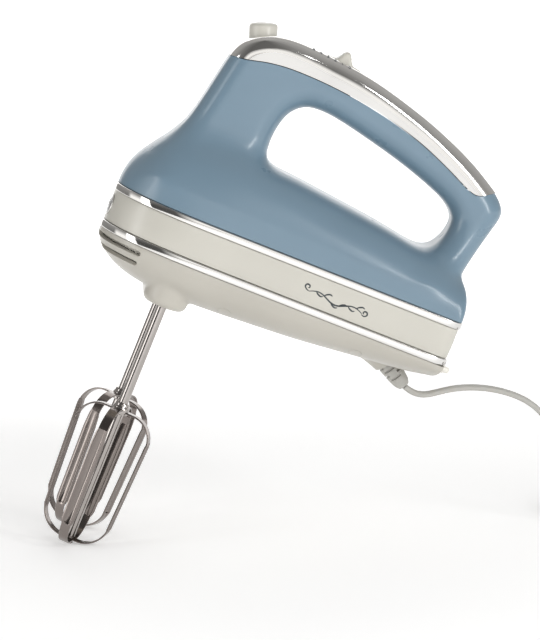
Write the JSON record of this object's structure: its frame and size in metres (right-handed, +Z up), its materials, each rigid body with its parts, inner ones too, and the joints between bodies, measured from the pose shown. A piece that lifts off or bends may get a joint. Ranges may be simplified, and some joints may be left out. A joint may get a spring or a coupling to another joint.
{
  "type": "hand mixer",
  "caption": "Corded electric hand mixer with a loop handle, two counter-turning wire beaters, an eject button and a sliding speed control, held tilted in use.",
  "frame": {"origin": "middle of the hand grip, inside the handle bar, where a hand holds the mixer", "axes": "+X towards the heel, +Y to the left beater seen from the heel, +Z up; the body is tipped nose-up by 22.1 degrees about +Y, as it is held over a bowl"},
  "size_m": [0.398, 0.1018, 0.2745],
  "materials": {
    "shell_blue": "high gloss moulded, blue-grey",
    "chrome": "polished chrome plating",
    "cream_plastic": "smooth semi-gloss, warm cream",
    "steel": "polished stainless steel",
    "dark_steel": "blued or laminated steel, satin",
    "copper": "enamelled copper winding",
    "nylon": "natural nylon",
    "black_plastic": "glass-filled, matte",
    "bronze": "sintered bronze",
    "carbon": "pressed carbon",
    "board": "solder-masked circuit board",
    "lead_jacket": "insulated leads",
    "cord_plastic": "flexible PVC, grey-cream",
    "clear_rubber": "translucent soft rubber"
  },
  "bodies": {
    "housing": {"upper_shell": "shell_blue", "handle_cover": "chrome", "upper_trim": "chrome", "middle_band": "cream_plastic", "lower_trim": "chrome", "lower_housing": "cream_plastic", "nose_badge": "chrome", "heel_foot_left": "clear_rubber", "heel_foot_right": "clear_rubber", "screw_front_left": "dark_steel", "screw_front_right": "dark_steel", "screw_rear_left": "dark_steel", "screw_rear_right": "dark_steel", "yoke_guide": "black_plastic", "eject_spring": "steel", "speed_switch": "black_plastic", "motor_stator": "dark_steel", "field_coil_upper": "copper", "field_coil_lower": "copper", "rear_bracket": "black_plastic", "rear_bearing": "bronze", "gear_cradle": "black_plastic", "front_bearing": "bronze", "control_board": "board", "internal_leads": "lead_jacket", "brush_holder_left": "bronze", "brush_holder_right": "bronze", "carbon_brush_left": "carbon", "carbon_brush_right": "carbon", "spindle_bush_left": "bronze", "spindle_bush_right": "bronze", "strain_relief": "cord_plastic", "cord_clamp": "black_plastic", "cord_tail": "cord_plastic", "power_cord": "cord_plastic", "cord_coil": "cord_plastic", "cord_plug": "cord_plastic"},
    "armature": {"motor_shaft": "steel", "drive_worm": "dark_steel", "cooling_fan": "black_plastic", "armature_core": "dark_steel", "winding_front": "copper", "winding_rear": "copper", "commutator": "copper"},
    "left_spindle": {"worm_gear_left": "nylon", "spindle_socket_left": "steel"},
    "right_spindle": {"worm_gear_right": "nylon", "spindle_socket_right": "steel"},
    "left_beater": {"beater_stem_left": "steel", "beater_collar_left": "steel", "beater_loop_outer_left": "steel", "beater_loop_inner_left": "steel"},
    "right_beater": {"beater_stem_right": "steel", "beater_collar_right": "steel", "beater_loop_outer_right": "steel", "beater_loop_inner_right": "steel"},
    "eject_button": {"eject_button": "cream_plastic"},
    "ejector_yoke": {"ejector_yoke": "nylon"},
    "speed_slider": {"speed_slider": "cream_plastic", "switch_wiper": "bronze"}
  },
  "joints": [
    {"name": "motor_spin", "type": "hinge", "parent": "housing", "child": "armature", "pos_m": [-0.03348, 0, -0.08246], "axis": [0.9265, 0, -0.3762], "continuous": true},
    {"name": "left_spindle_spin", "type": "hinge", "parent": "housing", "child": "left_spindle", "pos_m": [-0.09306, 0.02, -0.05827], "axis": [0.3762, 0, 0.9265], "continuous": true},
    {"name": "right_spindle_spin", "type": "hinge", "parent": "housing", "child": "right_spindle", "pos_m": [-0.09306, -0.02, -0.05827], "axis": [0.3762, 0, 0.9265], "continuous": true},
    {"name": "eject_press", "type": "slide", "parent": "housing", "child": "eject_button", "axis": [-0.0366, 0, -0.9993], "range_m": [0, 0.007], "stiffness_N_per_m": 600, "springref_m": -0.002},
    {"name": "yoke_slide", "type": "slide", "parent": "housing", "child": "ejector_yoke", "axis": [-0.3762, 0, -0.9265], "range_m": [0, 0.0066], "deforming": ["eject_spring"]},
    {"name": "left_beater_eject", "type": "slide", "parent": "left_spindle", "child": "left_beater", "axis": [-0.3762, 0, -0.9265], "range_m": [0, 0.0066]},
    {"name": "right_beater_eject", "type": "slide", "parent": "right_spindle", "child": "right_beater", "axis": [-0.3762, 0, -0.9265], "range_m": [0, 0.0066]},
    {"name": "speed_slide", "type": "slide", "parent": "housing", "child": "speed_slider", "axis": [-0.8957, 0, 0.4446], "range_m": [0, 0.015]}
  ],
  "couplings": [
    {"joint": "left_spindle_spin", "follows": "motor_spin", "ratio": -0.038462},
    {"joint": "right_spindle_spin", "follows": "motor_spin", "ratio": 0.038462},
    {"joint": "yoke_slide", "follows": "eject_press", "ratio": 0.93969},
    {"joint": "left_beater_eject", "follows": "eject_press", "ratio": 0.93969},
    {"joint": "right_beater_eject", "follows": "eject_press", "ratio": 0.93969}
  ]
}
